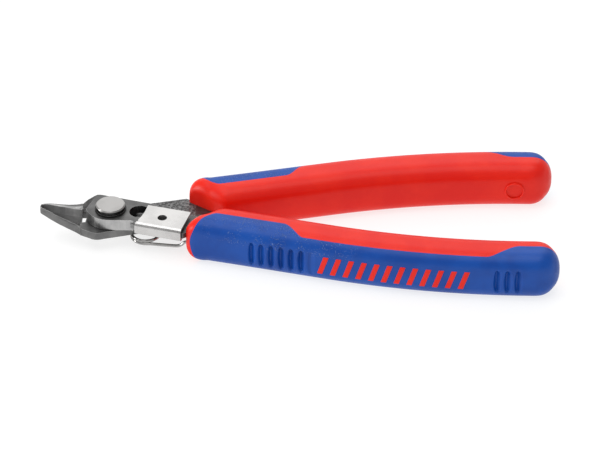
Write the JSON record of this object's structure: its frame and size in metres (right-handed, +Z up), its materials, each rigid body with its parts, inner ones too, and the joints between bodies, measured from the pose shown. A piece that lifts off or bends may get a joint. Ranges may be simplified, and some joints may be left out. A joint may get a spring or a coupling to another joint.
{
  "type": "flush cutter",
  "caption": "Small electronics flush cutter with lapped steel jaws on a bolt, a wire opening spring, a folded clip and two-colour cushioned grips.",
  "frame": {"origin": "middle of the tool in plan, on the surface that its grips lie on, jaws at rest and all but closed", "axes": "+X from the jaw tips to the ends of the grips, +Y towards the grip of the lower lever, +Z up, along the bolt towards its head"},
  "size_m": [0.125, 0.0488, 0.012],
  "materials": {
    "burnished_steel": "burnished, ground on the edges",
    "bright_steel": "polished",
    "red_plastic": "satin moulded",
    "blue_rubber": "satin, finely grained"
  },
  "bodies": {
    "upper": {"upper_lever": "burnished_steel", "spring_clip": "bright_steel", "pivot_bolt": "bright_steel", "bolt_washer": "burnished_steel", "pivot_nut": "bright_steel", "opening_spring": "bright_steel", "upper_grip_core": "red_plastic", "upper_grip_pad": "blue_rubber"},
    "lower": {"lower_lever": "burnished_steel", "stop_pin": "burnished_steel", "lower_grip_core": "red_plastic", "lower_grip_pad": "blue_rubber"}
  },
  "joints": [
    {"name": "lever_pivot", "type": "hinge", "parent": "upper", "child": "lower", "pos_m": [-0.0454, 0, 0.006], "axis": [0, 0, 1], "range_deg": [0, 12], "deforming": ["opening_spring"]}
  ]
}
